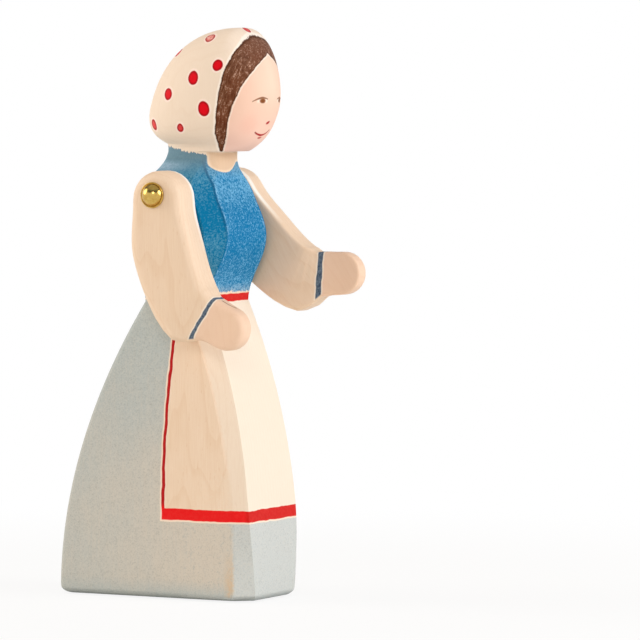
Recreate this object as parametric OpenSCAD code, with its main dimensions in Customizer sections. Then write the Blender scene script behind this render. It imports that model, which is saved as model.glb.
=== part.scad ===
// Jointed wooden doll: a peasant woman carved from one board, with two arms
// that turn on domed brass nails. Millimetres. Z is up, the doll faces -Y and
// its right hand is on -X. The origin is the middle of the foot of the skirt.

/* [Board] */
// Thickness of the board that head, bodice and skirt are carved from
board_t = 28; // [24:0.5:34]
// Width, across the front, of the flat cut along each front corner at the foot
bevel_foot = 3.8; // [1:0.1:5]
// Width, across the front, of the same cut where it is narrowest
bevel_narrow = 1.4; // [1:0.1:4]
// Height at which it is narrowest
bevel_narrow_h = 21; // [10:0.5:40]
// Width, across the front, of the same cut at the collar
bevel_collar = 4.4; // [2:0.1:6]
// Width of that cut along the side of the board
bevel_side = 4.6; // [2:0.1:6]
// Radius of the back corners
back_r = 2; // [1:0.1:4]
// Radius round the bottom edge
foot_r = 2.2; // [1:0.1:4]

/* [Skirt] */
// Height from the table to the waist
skirt_h = 75.5; // [62:0.5:92]
// Reach of the hem in front of the middle
hem_front = 28.2; // [24:0.5:34]
// Reach of the hem behind the middle
hem_back = 28; // [24:0.5:34]
// Reach of the waist in front of the middle
waist_front = 14.4; // [11:0.5:17]
// Reach of the waist behind the middle
waist_back = 2.6; // [1:0.2:6]
// How late the front of the skirt runs in to the waist
front_flare = 2.35; // [1.6:0.05:3]
// How late the back of the skirt runs in to the waist
back_flare = 2; // [1.4:0.05:3]

/* [Bodice] */
// Height from the waist to the foot of the neck
bodice_h = 32.5; // [28:0.5:40]
// Swell of the bust in front
bust = 5.2; // [2:0.2:8]
// Swell of the shoulder blades behind
blades = 2; // [0:0.2:4]
// Height over which the shoulders slope in to the neck
shoulder_slope = 8.5; // [4:0.5:9]

/* [Neck and head] */
// Height of the neck
neck_h = 5.5; // [3:0.5:9]
// Half width of the neck
neck_half = 8.4; // [6:0.2:10]
// Reach of the neck in front of the middle
neck_front = 15.4; // [13:0.2:17]
// Reach of the neck behind the middle, at its foot
neck_back = 3.2; // [1:0.2:5]
// Reach of the neck behind the middle, under the scarf
nape_back = 1.6; // [0:0.2:4]
// Height of the head above the neck
head_h = 31.5; // [27:0.5:38]
// Width of the head
head_w = 25.6; // [20:0.2:27]
// Depth of the face in front of the head's axis
face_d = 14.9; // [12:0.1:18]
// Depth of the scarf behind the head's axis
scarf_d = 19; // [15:0.1:23]
// Reach of the head's axis in front of the middle, at the neck
axis_front = 9; // [7:0.2:11]
// How much further forward the axis is at the crown
head_lean = 10; // [4:0.5:13]

/* [Arms] */
// Thickness of an arm, from the shoulder to the elbow
arm_t = 8.5; // [6:0.25:12]
// Thickness of the hand at its middle
hand_t = 4.8; // [3:0.2:6]
// Radius of the rounded shoulder
shoulder_r = 7.3; // [6:0.1:9]
// Length of the upper arm, from the middle of the shoulder to the elbow
upper_arm = 26.2; // [22:0.1:34]
// How much the upper arm curves forward over its length, in degrees
upper_arm_curve = 30; // [0:1:40]
// Reach of the upper arm in front of its middle line
upper_arm_front = 8.2; // [6:0.1:9]
// Reach of the upper arm behind its middle line
upper_arm_back = 9.4; // [7:0.1:10.5]
// Bend of the elbow, in degrees
elbow_bend = 38; // [20:1:60]
// Radius of the bend along the middle of the arm
elbow_r = 12.2; // [10.5:0.1:15]
// Reach of the elbow inside the bend
elbow_front = 7.2; // [6:0.1:9]
// Reach of the elbow outside the bend
elbow_back = 9.5; // [7:0.1:10]
// Length of the forearm, from the elbow to the wrist
forearm = 0.8; // [0.5:0.1:6]
// Reach of the wrist in front of its middle line
wrist_front = 6.1; // [4.5:0.1:7]
// Reach of the wrist behind its middle line
wrist_back = 5.2; // [4.5:0.1:7]
// Length from the wrist to the middle of the hand
hand = 5.4; // [4:0.1:8]
// Radius of the hand
hand_r = 5.5; // [4.5:0.1:7]
// Radius round the outer edge of an arm
arm_edge_r = 2.8; // [1:0.1:3.5]
// Radius round the edge on the body's side
arm_inner_r = 0.7; // [0.3:0.1:1.5]
// Forward swing of the right arm, in degrees
right_swing = 1; // [-60:1:170]
// Forward swing of the left arm, in degrees
left_swing = 29; // [-60:1:170]

/* [Shoulder nails] */
// Reach of the nails in front of the middle
pivot_front = 5.6; // [4:0.1:7]
// Depth of the nails below the foot of the neck
pivot_drop = 5.2; // [5:0.1:9]
// How far the nail sits above the middle of the rounded shoulder
pivot_up = 1.2; // [0:0.1:2]
// How far the nail sits behind the middle of the rounded shoulder
pivot_back = 0.3; // [0:0.1:2]
// Diameter of the nail's head
nail_head_d = 6.5; // [5:0.25:8]
// Height of the straight rim of the head
nail_rim_h = 0.5; // [0.3:0.1:1]
// Height of the dome above its rim
nail_dome_h = 2; // [1:0.1:2.4]
// Diameter of the shank
shank_d = 2; // [1.4:0.1:3]
// Depth of the shank in the body, without its point
nail_grip = 9; // [6:0.5:11]
// Length of the point
nail_point = 2; // [1:0.25:3]
// Clearance all round the shank in the arm's bore
bore_clearance = 0.08; // [0.05:0.01:0.1]
// Gap between the body and an arm
arm_gap = 0.2; // [0.1:0.05:0.5]
// Gap between an arm and the nail's head
head_gap = 0.1; // [0.05:0.05:0.3]

/* [Hidden] */

half_t = board_t / 2;
collar_z = skirt_h + bodice_h;
chin_z = collar_z + neck_h;
crown_z = chin_z + head_h;
pivot_z = collar_z - pivot_drop;
arm_x = half_t + arm_gap;
nail_x = arm_x + arm_t + head_gap;
shank_r = shank_d / 2;
bore_r = shank_r + bore_clearance;
dome_r = (pow(nail_head_d / 2, 2) + pow(nail_dome_h, 2)) / (2 * nail_dome_h);

function mix(a, b, t) = a + (b - a) * t;
function part_of(v, low, high) = min(1, max(0, (v - low) / (high - low)));
function eased(t) = t * t * (3 - 2 * t);
function hump(t) = pow(sin(180 * t), 2);
// Height of a rounded bulge: 1 in the middle, 0 at either end of its reach
function bulge(t, middle, down, up, n_down, n_up) =
    let (q = t < middle ? (middle - t) / down : (t - middle) / up,
         n = t < middle ? n_down : n_up)
    pow(max(0, 1 - pow(min(1, q), n)), 1 / n);

// The body: side profile

function head_t(z) = (z - chin_z) / head_h;
function head_axis(z) = -(axis_front + head_lean * max(0, head_t(z)));
function skirt_reach(z, hem, waist, flare) =
    mix(waist, hem, 1 - pow(part_of(z, 0, skirt_h), flare));
function bodice_reach(z, waist, neck, swell) =
    let (t = part_of(z, skirt_h, collar_z)) mix(waist, neck, t) + swell * hump(t);
function face_y(z) =
    min(-neck_front, head_axis(z) - face_d * bulge(head_t(z), 0.35, 0.388, 0.65, 3.2, 1.44));
function nape_y(z) =
    max(head_t(z) < 0.2 ? nape_back : head_axis(z),
        head_axis(z) + scarf_d * bulge(head_t(z), 0.4, 0.38, 0.6, 2.6, 2.3));

// How far the rounded foot draws the section in at height z
function foot_inset(z) =
    z < foot_r ? foot_r - sqrt(pow(foot_r, 2) - pow(foot_r - z, 2)) : 0;
function front_y(z) =
    z < skirt_h ? foot_inset(z) - skirt_reach(z, hem_front, waist_front, front_flare) :
    z < collar_z ? -bodice_reach(z, waist_front, neck_front, bust) :
    z <= chin_z ? -neck_front : face_y(z);
function back_y(z) =
    z < skirt_h ? skirt_reach(z, hem_back, waist_back, back_flare) - foot_inset(z) :
    z < collar_z ? bodice_reach(z, waist_back, neck_back, blades) :
    z < chin_z ? mix(neck_back, nape_back, part_of(z, collar_z, chin_z)) : nape_y(z);
function half_width(z) =
    z < chin_z ?
        mix(half_t - foot_inset(z), neck_half,
            eased(part_of(z, collar_z - shoulder_slope / 2, collar_z + shoulder_slope / 2))) :
        max(head_t(z) < 0.2 ? neck_half : 0,
            head_w / 2 * bulge(head_t(z), 0.4, 0.42, 0.6, 2.4, 3));
// 0 where the section is the bevelled board, 1 where it is rounded
function roundness(z) = eased(part_of(z, collar_z - shoulder_slope / 2, chin_z));
// How wide the front corners are cut
function bevel(z) =
    z < bevel_narrow_h ? mix(bevel_foot, bevel_narrow, part_of(z, 0, bevel_narrow_h)) :
    mix(bevel_narrow, bevel_collar, part_of(z, bevel_narrow_h, collar_z));

// The body: one section, half of it, from the middle of the front to the
// middle of the back, with the same number of points at every height

front_n = 4;
bevel_n = 4;
side_n = 6;
corner_n = 5;
back_n = 5;
half_n = front_n + bevel_n + side_n + corner_n + back_n;

function board_point(i, f, b, w, cx, cy, r) =
    i < front_n ? [(w - cx) * i / front_n, f] :
    i < front_n + bevel_n ?
        let (t = (i - front_n) / bevel_n) [w - cx + cx * t, f + cy * t] :
    i < front_n + bevel_n + side_n ?
        let (t = (i - front_n - bevel_n) / side_n) [w, mix(f + cy, b - r, t)] :
    i < half_n - back_n ?
        let (a = 90 * (i - front_n - bevel_n - side_n) / corner_n)
        [w - r + r * cos(a), b - r + r * sin(a)] :
    [(w - r) * (half_n - i) / back_n, b];
function round_point(i, f, b, w, axis, n) =
    let (a = 180 * i / half_n - 90, s = sin(a))
    [w * pow(max(0, cos(a)), 2 / n), axis + (s < 0 ? axis - f : b - axis) * sign(s) * pow(abs(s), 2 / n)];
function section_point(i, z) =
    let (f = front_y(z), b = back_y(z), w = half_width(z), k = roundness(z),
         axis = mix((f + b) / 2, head_axis(z), eased(part_of(z, collar_z, chin_z))),
         board = board_point(i, f, b, w, bevel(z), bevel_side, back_r),
         round = round_point(i, f, b, w, axis, 2.3),
         p = mix(board, round, k))
    [p[0], p[1], z];
function ring(z) = concat(
    [for (i = [0 : half_n]) section_point(i, z)],
    [for (i = [half_n - 1 : -1 : 1]) let (p = section_point(i, z)) [-p[0], p[1], z]]);

// Heights of the sections, closer together where the shape turns quickly
foot_levels = [for (a = [0 : 22.5 : 90]) foot_r * (1 - cos(a))];
skirt_levels = [for (i = [1 : 14]) mix(foot_r, skirt_h, i / 14)];
bodice_levels = [for (i = [1 : 15]) mix(skirt_h, collar_z, i / 15)];
neck_levels = [for (i = [1 : 4]) mix(collar_z, chin_z, i / 4)];
head_levels = [for (i = [1 : 24]) chin_z + head_h * (1 - cos(180 * i / 25)) / 2];
levels = concat(foot_levels, skirt_levels, bodice_levels, neck_levels, head_levels);

// A solid skinned over rings of as many points each, counterclockwise from the
// last ring. Its ends are fans round two given tips or, with none given, rungs
// across rings that are alike on both sides of their first point
module skinned(rings, tips) {
    n = len(rings[0]);
    top = n * (len(rings) - 1);
    end = top + n;
    sides = [for (a = [0 : n : top - n]) for (i = [0 : n - 1])
        let (k = (i + 1) % n) [a + i, a + n + i, a + n + k, a + k]];
    rungs = [for (i = [0 : n / 2 - 1])
        for (t = [[i, i + 1, n - i - 1], [i, n - i - 1, (n - i) % n]])
            if (t[0] != t[2] && t[1] != t[2]) t];
    under = is_undef(tips) ? rungs : [for (i = [0 : n - 1]) [i, (i + 1) % n, end]];
    over = is_undef(tips) ?
        [for (t = rungs) [top + t[2], top + t[1], top + t[0]]] :
        [for (i = [0 : n - 1]) [top + i, end + 1, top + (i + 1) % n]];
    polyhedron(
        points = concat([for (r = rings) for (p = r) p], is_undef(tips) ? [] : tips),
        faces = concat(sides, under, over),
        convexity = 6);
}

module nail_hole(side) {
    translate([side * half_t, -pivot_front, pivot_z])
        rotate([0, -90 * side, 0])
            translate([0, 0, -1])
                cylinder(h = nail_grip + nail_point + 1, r = shank_r, $fn = 48);
}

module body() {
    color("#c8c4b4")
        difference() {
            skinned([for (z = levels) ring(z)], [[0, 0, 0], [0, head_axis(crown_z), crown_z]]);
            nail_hole(1);
            nail_hole(-1);
        }
}

// The arms: a middle line that curves down the upper arm, bends round the
// elbow and runs out along the hand, with a reach in front of it and behind it
// at every length along it. At swing 0 it leaves the shoulder straight down.

elbow_length = elbow_r * elbow_bend * PI / 180;
elbow_end = upper_arm + elbow_length;
wrist_at = elbow_end + forearm;
arm_end = wrist_at + hand;
// Length along the middle line, reach in front, reach behind
reaches = [
    [0, shoulder_r, shoulder_r],
    [upper_arm / 2, upper_arm_front, upper_arm_back],
    [upper_arm + elbow_length / 2, elbow_front, elbow_back],
    [wrist_at, wrist_front, wrist_back],
    [arm_end, hand_r, hand_r]
];
function reach_at(s, k, j = 0) =
    j < len(reaches) - 2 && s > reaches[j + 1][0] ? reach_at(s, k, j + 1) :
    mix(reaches[j][k], reaches[j + 1][k], eased(part_of(s, reaches[j][0], reaches[j + 1][0])));
// Degrees that the middle line has turned forward at length s
function turn_at(s) =
    upper_arm_curve * part_of(s, 0, upper_arm) + elbow_bend * part_of(s, upper_arm, elbow_end);
// Where the line is after length s from a point at which it has turned by a,
// if it turns by b more on the way
function run(s, a, b) =
    s * sin(b / 2) / max(0.001, b / 2 * PI / 180) * [-sin(a + b / 2), -cos(a + b / 2)];
function middle_at(s) =
    run(min(s, upper_arm), 0, turn_at(min(s, upper_arm))) +
    run(max(0, min(s, elbow_end) - upper_arm), upper_arm_curve, max(0, turn_at(s) - upper_arm_curve)) +
    max(0, s - elbow_end) * [-sin(turn_at(s)), -cos(turn_at(s))];
function edge_point(s, turn, reach) =
    let (a = turn - turn_at(s)) middle_at(s) + reach * [cos(a), sin(a)];
// The hand is worked thinner than the arm, alike from both faces
function thin_at(s) = mix(1, hand_t / arm_t, eased(part_of(s, upper_arm, arm_end)));
edge_n = 20;
arc_n = 6;
// From the top of the shoulder to the tip of the hand: length along the middle
// line, and degrees from straight behind it
stations = concat(
    [for (i = [0 : arc_n]) [0, 90 - 90 * i / arc_n]],
    [for (i = [1 : edge_n]) [arm_end * i / edge_n, 0]],
    [for (i = [1 : arc_n]) [arm_end, -90 * i / arc_n]]);
tip = len(stations) - 1;
// A point of the right arm, at height u above its inner face and drawn in from
// its outline by inset
function arm_point(s, turn, reach, u, inset) =
    let (k = thin_at(s), p = edge_point(s, turn, reach - k * inset))
    [-mix(arm_t / 2, u, k), p[0], p[1]];
function arm_ring(u, inset) = concat(
    [for (q = stations) arm_point(q[0], q[1], reach_at(q[0], 2), u, inset)],
    [for (i = [tip - 1 : -1 : 1])
        let (q = stations[i]) arm_point(q[0], 180 - q[1], reach_at(q[0], 1), u, inset)]);

module hanging_arm(swing) {
    inner = [for (a = [90 : -45 : 0]) [arm_inner_r * (1 - sin(a)), arm_inner_r * (1 - cos(a))]];
    outer = [for (a = [0 : 22.5 : 90]) [arm_t - arm_edge_r * (1 - sin(a)), arm_edge_r * (1 - cos(a))]];
    translate([-arm_x, -pivot_front, pivot_z])
        rotate([-swing, 0, 0])
            difference() {
                translate([0, -pivot_back, -pivot_up])
                    skinned([for (s = concat(inner, outer)) arm_ring(s[0], s[1])]);
                rotate([0, -90, 0])
                    translate([0, 0, -1]) cylinder(h = arm_t + 2, r = bore_r, $fn = 48);
            }
}

module right_arm() {
    color("#ead0ae") hanging_arm(right_swing);
}

module left_arm() {
    color("#ead0ae") mirror([1, 0, 0]) hanging_arm(left_swing);
}

module shoulder_nail(side) {
    reach = arm_t + arm_gap + head_gap + nail_grip;
    translate([side * nail_x, -pivot_front, pivot_z])
        rotate([0, 90 * side, 0]) {
            cylinder(h = nail_rim_h, d = nail_head_d, $fn = 96);
            intersection() {
                translate([0, 0, nail_rim_h + nail_dome_h - dome_r]) sphere(r = dome_r, $fn = 96);
                translate([0, 0, nail_rim_h]) cylinder(h = nail_dome_h + 1, d = nail_head_d, $fn = 96);
            }
            translate([0, 0, -reach]) cylinder(h = reach, r = shank_r, $fn = 48);
            translate([0, 0, -reach - nail_point])
                cylinder(h = nail_point, r1 = 0.2, r2 = shank_r, $fn = 48);
        }
}

module right_shoulder_nail() {
    color("#d9a441") shoulder_nail(-1);
}

module left_shoulder_nail() {
    color("#d9a441") shoulder_nail(1);
}

body();
right_arm();
left_arm();
right_shoulder_nail();
left_shoulder_nail();
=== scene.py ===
import math
import bpy
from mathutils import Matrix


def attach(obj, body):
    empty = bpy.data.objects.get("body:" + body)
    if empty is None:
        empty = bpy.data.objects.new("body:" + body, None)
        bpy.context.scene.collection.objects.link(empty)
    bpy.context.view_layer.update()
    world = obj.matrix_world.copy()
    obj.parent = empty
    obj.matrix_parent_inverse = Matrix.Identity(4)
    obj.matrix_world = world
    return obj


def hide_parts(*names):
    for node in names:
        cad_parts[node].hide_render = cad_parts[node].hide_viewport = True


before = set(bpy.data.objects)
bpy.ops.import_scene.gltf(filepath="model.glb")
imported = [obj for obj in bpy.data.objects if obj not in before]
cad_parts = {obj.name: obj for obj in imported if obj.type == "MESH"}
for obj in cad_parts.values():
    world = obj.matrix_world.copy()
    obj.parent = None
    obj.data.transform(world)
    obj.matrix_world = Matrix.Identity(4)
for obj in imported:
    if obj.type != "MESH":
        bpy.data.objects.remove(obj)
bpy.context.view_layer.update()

# The woman: head, bodice and skirt are one piece of maple, sawn to her side view from a 28 mm
# board, then carved and sanded round by hand. Her clothes, hair and face are thin water stain
# and brushed paint on that wood, and bare maple shows wherever neither was laid on.
mm = 0.001
weld = 0.004 * mm                # corners closer than this are one corner
one_facet = math.radians(40)     # triangles that meet flatter than this are one facet
sanded_r = 0.45 * mm             # what sandpaper takes off every sawn edge
sawn = math.radians(23)          # edges flatter than this are part of a carved curve


def copy_of(node, name):
    """A new object with the mesh of a CAD node, its doubled corners welded. It is left active."""
    bpy.ops.object.select_all(action="DESELECT")
    piece = bpy.data.objects.new(name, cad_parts[node].data.copy())
    bpy.context.scene.collection.objects.link(piece)
    bpy.context.view_layer.objects.active = piece
    piece.select_set(True)
    piece.data.materials.clear()
    bpy.ops.object.mode_set(mode="EDIT")
    bpy.ops.mesh.select_all(action="SELECT")
    bpy.ops.mesh.remove_doubles(threshold=weld)
    bpy.ops.object.mode_set(mode="OBJECT")
    return piece


woman = copy_of("body", "carved_woman")
bpy.ops.object.mode_set(mode="EDIT")
bpy.ops.mesh.select_all(action="SELECT")
bpy.ops.mesh.tris_convert_to_quads(face_threshold=one_facet, shape_threshold=one_facet)
bpy.ops.object.mode_set(mode="OBJECT")
sanding = woman.modifiers.new("sanded_edges", "BEVEL")
sanding.width = sanded_r
sanding.segments = 2
sanding.limit_method = "ANGLE"
sanding.angle_limit = sawn
sanding.miter_outer = "MITER_ARC"
bpy.ops.object.modifier_apply(modifier=sanding.name)
carving = woman.modifiers.new("carved_round", "SUBSURF")
carving.levels = 2
carving.render_levels = 2
bpy.ops.object.modifier_apply(modifier=carving.name)
bpy.ops.object.shade_smooth()


def srgb(code):
    """A colour written as six hex digits, as the linear colour that a socket takes."""
    parts = [int(code[i:i + 2], 16) / 255 for i in (1, 3, 5)]
    return [p / 12.92 if p <= 0.04045 else ((p + 0.055) / 1.055) ** 2.4 for p in parts] + [1]


def add(tree, kind, *values, **settings):
    """Adds a shader node with its settings, fills its open sockets in order, and gives its output."""
    fresh = tree.nodes.new("ShaderNode" + kind)
    for name, value in settings.items():
        setattr(fresh, name, value)
    for socket, value in zip([s for s in fresh.inputs if s.enabled], values):
        if isinstance(value, bpy.types.NodeSocket):
            tree.links.new(value, socket)
        elif value is not None:
            socket.default_value = value
    return next((s for s in fresh.outputs if s.enabled), None)


def blank(owner):
    """The node tree of a material or a world, emptied."""
    owner.use_nodes = True
    owner.node_tree.nodes.clear()
    return owner.node_tree


def in_mm(tree):
    """The place of a point on the doll, in millimetres."""
    return add(tree, "VectorMath", add(tree, "TexCoord").node.outputs["Object"], 1 / mm, operation="SCALE")


def along_grain(tree, spot, wide, long, detail, roughness=0.5):
    """Noise in marks that lie along the grain, so many millimetres wide and, up Z, long."""
    marks = add(tree, "VectorMath", spot, (1 / wide, 1 / wide, 1 / long), operation="MULTIPLY")
    return add(tree, "TexNoise", marks, 1.0, detail, roughness)


def by_hand(tree, spot, sway, reach):
    """A place as a brush held by hand meets it: it sways every few millimetres, by half of reach at most."""
    wander = add(tree, "TexNoise", spot, 1 / sway, 2.0).node.outputs["Color"]
    centred = add(tree, "VectorMath", wander, (0.5, 0.5, 0.5), operation="SUBTRACT")
    return add(tree, "VectorMath", centred, (reach, reach, reach), spot, operation="MULTIPLY_ADD")


def maple(tree, spot, pith, light, dark):
    """Planed maple, its grain along Z: wide faint growth rings round a pith far off, fine short fibres
    and a few dark pores. spot is in millimetres. Gives its colour and the height of its fibres."""
    fibre_w, fibre_l, pore_w, pore_l = 0.3125, 6.25, 0.4167, 2.0
    ring_w, ring_lean, wave_w, wave_l, wave_reach = 1.25, 0.05, 11.11, 50.0, 5.0
    fibre = along_grain(tree, spot, fibre_w, fibre_l, 3.0, 0.6)
    slow = along_grain(tree, spot, wave_w, wave_l, 2.0)
    from_pith = add(tree, "VectorMath", spot, pith, operation="SUBTRACT")
    flat = add(tree, "VectorMath", from_pith, (1, 1, 0), operation="MULTIPLY")
    radius = add(tree, "VectorMath", flat, operation="LENGTH").node.outputs["Value"]
    height = add(tree, "SeparateXYZ", from_pith).node.outputs["Z"]
    leaning = add(tree, "Math", height, ring_lean, radius, operation="MULTIPLY_ADD")
    wavy = add(tree, "Math", slow, wave_reach, leaning, operation="MULTIPLY_ADD")
    year = add(tree, "Math", add(tree, "Math", wavy, ring_w, operation="DIVIDE"), operation="FRACT")
    late = add(tree, "MapRange", year, 0.62, 0.97, 0.0, 1.0, interpolation_type="SMOOTHSTEP")
    fade = add(tree, "MapRange", year, 0.97, 1.0, 1.0, 0.0)
    line = add(tree, "Math", late, fade, operation="MULTIPLY")
    fibrous = add(tree, "MapRange", fibre, 0.3, 0.7, 0.1, 0.36)
    tone = add(tree, "Math", line, 0.2, fibrous, operation="MULTIPLY_ADD")
    pores = along_grain(tree, spot, pore_w, pore_l, 1.0)
    tone = add(tree, "Math", tone, add(tree, "MapRange", pores, 0.7, 0.76, 0.0, 0.35))
    return add(tree, "Mix", tone, light, dark, data_type="RGBA"), fibre


def oiled(tree, colour, rough, fibre, gloss):
    """Wood under a thin dull oil that leaves its fibres just proud, so that it shines only softly."""
    grain = add(tree, "Bump", 0.35, 0.03 * mm, None, fibre)
    satin = add(tree, "BsdfPrincipled", colour, 0.0, rough, 1.5, 1.0, grain)
    satin.node.inputs["Specular IOR Level"].default_value = gloss
    add(tree, "OutputMaterial", satin)


paint = bpy.data.materials.new("stained_and_painted_maple")
tree = blank(paint)
spot = in_mm(tree)
colour, fibre = maple(tree, spot, pith=(62, -12, 40), light=srgb("#F6E1CA"), dark=srgb("#E5C4A2"))

# Every painted edge wanders a few tenths of a millimetre and is soft over a tenth or so. The pale lines
# beside paint and hair are drawn as the photograph shows them, and may be its sharpening. The stain
# clouds over 9 mm and streaks along the grain, sizes given. Its specks are taken to be 0.2 mm and
# finer, and are drawn at 0.7 and 0.4 mm to show
soft, sway, sway_reach = 0.1, 4.545, 0.75
cloud_w, speck_w, grit_w, streak_w, streak_l = 9.09, 0.7143, 0.3846, 0.5882, 14.29
hand = by_hand(tree, spot, sway, sway_reach)
x, y, z = add(tree, "SeparateXYZ", hand).node.outputs
side = add(tree, "Math", x, operation="ABSOLUTE")
cloud = add(tree, "TexNoise", spot, 1 / cloud_w, 3.0)
speck = add(tree, "TexNoise", spot, 1 / speck_w, 2.0, 0.6)
grit = add(tree, "TexNoise", spot, 1 / grit_w, 2.0, 0.6)
streak = along_grain(tree, spot, streak_w, streak_l, 3.0, 0.65)

# The front facet of the board reaches to the sawn bevel: 0 at its edge, in millimetres. Half its width
# shrinks slowly from the foot up, and faster over the shoulders
foot_half, foot_taper = 13.32, 0.0345
shoulder_half, shoulder_taper = 34.9, 0.245
true_x, true_y, true_z = add(tree, "SeparateXYZ", spot).node.outputs
true_side = add(tree, "Math", true_x, operation="ABSOLUTE")
foot_edge = add(tree, "Math", true_z, -foot_taper, foot_half, operation="MULTIPLY_ADD")
shoulder_edge = add(tree, "Math", true_z, -shoulder_taper, shoulder_half, operation="MULTIPLY_ADD")
bevel_edge = add(tree, "Math", foot_edge, shoulder_edge, operation="MINIMUM")
front_facet = add(tree, "Math", bevel_edge, true_side, operation="SUBTRACT")
ahead = add(tree, "MapRange", true_y, -8.0, -10.0, 0.0, 1.0)
on_front = add(tree, "Math", add(tree, "MapRange", front_facet, -0.2, 0.2), ahead, operation="MULTIPLY")

# Skirt: a thin grey-blue water stain, streaked along the grain. The wood glows through it, warmest
# low on the sides; it lies bluer at the waist and on the front, and is worn off the front corners. It
# stops at the apron, whose back edge bows forward toward the waist. The front below the apron is painted
# paler as painted light, and a dark grey line along the foot is painted shade
stain_top, hem_z = 76.05, 20.2
apron_foot, apron_back, apron_bow = 20.0, -3.3, 0.00155
corner_y, corner_side = -22.9, 13.6
under_waist = add(tree, "Math", stain_top, z, operation="SUBTRACT")
up_skirt = add(tree, "Math", z, apron_foot, operation="SUBTRACT")
bowed = add(tree, "Math", up_skirt, up_skirt, operation="MULTIPLY")
apron_back_y = add(tree, "Math", bowed, -apron_bow, apron_back, operation="MULTIPLY_ADD")
inside_edge = add(tree, "Math", add(tree, "Math", apron_back_y, y, operation="SUBTRACT"), 0.45)
above_hem = add(tree, "Math", z, hem_z, operation="SUBTRACT")
in_apron = add(tree, "Math", inside_edge, above_hem, operation="MINIMUM")
off_apron = add(tree, "Math", -0.36, in_apron, operation="SUBTRACT")
in_skirt = add(tree, "Math", under_waist, off_apron, operation="MINIMUM")
on_skirt = add(tree, "MapRange", in_skirt, -soft, soft)
ragged_side = add(tree, "Math", speck, 0.5, add(tree, "Math", true_side, -0.25), operation="MULTIPLY_ADD")
low_front = add(tree, "MapRange", ragged_side, 13.97, corner_side)
on_low_front = add(tree, "Math", low_front, ahead, operation="MULTIPLY")
warmth = add(tree, "MapRange", z, 66.0, 22.0, 0.0, 1.0, interpolation_type="SMOOTHSTEP")
for share in (
        add(tree, "MapRange", y, 27.0, -16.0, 0.35, 1.0),
        add(tree, "MapRange", on_low_front, 0.0, 1.0, 1.0, 0.0),
        add(tree, "MapRange", z, 1.0, 5.0, 0.15, 1.0)):
    warmth = add(tree, "Math", warmth, share, operation="MULTIPLY")
warmth = add(tree, "Math", warmth, add(tree, "MapRange", cloud, 0.3, 0.7, -0.1, 0.1))
warmth = add(tree, "Math", warmth, add(tree, "MapRange", streak, 0.3, 0.7, -0.1, 0.1), use_clamp=True)
off_corner = add(tree, "Math", add(tree, "Math", y, -corner_y), operation="ABSOLUTE")
worn_corner = add(tree, "MapRange", off_corner, 2.0, 0.5)
for share in (
        add(tree, "MapRange", ragged_side, corner_side, 13.9),
        add(tree, "MapRange", true_z, 13.0, 4.0, 0.0, 0.7),
        add(tree, "MapRange", speck, 0.35, 0.6, 0.3, 1.0)):
    worn_corner = add(tree, "Math", worn_corner, share, operation="MULTIPLY")
stain = add(tree, "Mix", warmth, srgb("#AFBEC1"), srgb("#D0CBC0"), data_type="RGBA")
for share, tint in (
        # painted light: the front below the apron is paler, and bluer in its stain
        (add(tree, "Math", on_low_front, 0.85, operation="MULTIPLY"), "#CAD3D4"),
        (add(tree, "MapRange", grit, 0.45, 0.7, 0.0, 0.3), "#E0DDD2"),
        (add(tree, "MapRange", grit, 0.44, 0.26, 0.0, 0.4), "#878F8C"),
        (add(tree, "MapRange", speck, 0.46, 0.3, 0.0, 0.16), "#878F8C"),
        (worn_corner, "#D6B78E"),
        # painted shade: a dark grey line along the foot
        (add(tree, "MapRange", true_z, 1.8, 0.3, 0.0, 0.65), "#7F8E93")):
    stain = add(tree, "Mix", share, stain, srgb(tint), data_type="RGBA")
thickness = add(tree, "Math", on_skirt, 0.9, operation="MULTIPLY")
colour = add(tree, "Mix", thickness, colour, stain, data_type="RGBA")

# Bodice: a stronger blue water stain full of pale specks, greener on the sides, rubbed thin at the
# waist and the top of the chest and darkest under the bust. It covers the sides and back of the neck
# up to the scarf, where the brush left a ragged edge, and stops at a scooped neckline in front
bust_z, slope_z, throat_y, throat_z = 89.5, 109.9, -12.5, 113.6
scoop_x, scoop_half, scoop_power = -3.1, 5.5, 2.4
scoop_h, scoop_z, scoop_top = 2.4, 108.3, 110.9
collar_z, collar_rise = 114.9, 0.18
bristle_w, bristle_l = 0.4545, 3.333
foot_of_bodice = add(tree, "MapRange", inside_edge, -0.1, 0.0, 76.5, 77.8)
bristle = along_grain(tree, spot, bristle_w, bristle_l, 2.0)
ragged = add(tree, "MapRange", bristle, 0.3, 0.7, -0.35, 0.35)
over_waist = add(tree, "Math", add(tree, "Math", z, foot_of_bodice, operation="SUBTRACT"), ragged)
collar = add(tree, "Math", y, collar_rise, collar_z, operation="MULTIPLY_ADD")
under_scarf = add(tree, "Math", add(tree, "Math", collar, ragged), z, operation="SUBTRACT")
off_scoop = add(tree, "Math", add(tree, "Math", x, -scoop_x), operation="ABSOLUTE")
off_scoop = add(tree, "Math", off_scoop, scoop_half, operation="DIVIDE")
scoop = add(tree, "Math", off_scoop, scoop_power, operation="POWER")
neckline = add(tree, "Math", scoop, scoop_h, scoop_z, operation="MULTIPLY_ADD")
neckline = add(tree, "Math", neckline, scoop_top, 0.8, operation="SMOOTH_MIN")
over_scoop = add(tree, "Math", z, neckline, operation="SUBTRACT")
at_throat = add(tree, "Math", throat_y, y, operation="SUBTRACT")
bare_neck = add(tree, "Math", over_scoop, at_throat, 3.0, operation="SMOOTH_MIN")
off_neck = add(tree, "Math", bare_neck, -1.0, operation="MULTIPLY")
in_bodice = add(tree, "Math", over_waist, under_scarf, operation="MINIMUM")
in_bodice = add(tree, "Math", in_bodice, off_neck, operation="MINIMUM")
on_bodice = add(tree, "MapRange", in_bodice, -soft, soft)
thin_chest = add(tree, "MapRange", z, 97.5, 105.0, 0.0, 0.54, interpolation_type="SMOOTHSTEP")
low_flank = add(tree, "MapRange", z, 96.0, bust_z, 0.0, 0.38, interpolation_type="SMOOTHSTEP")
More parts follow.
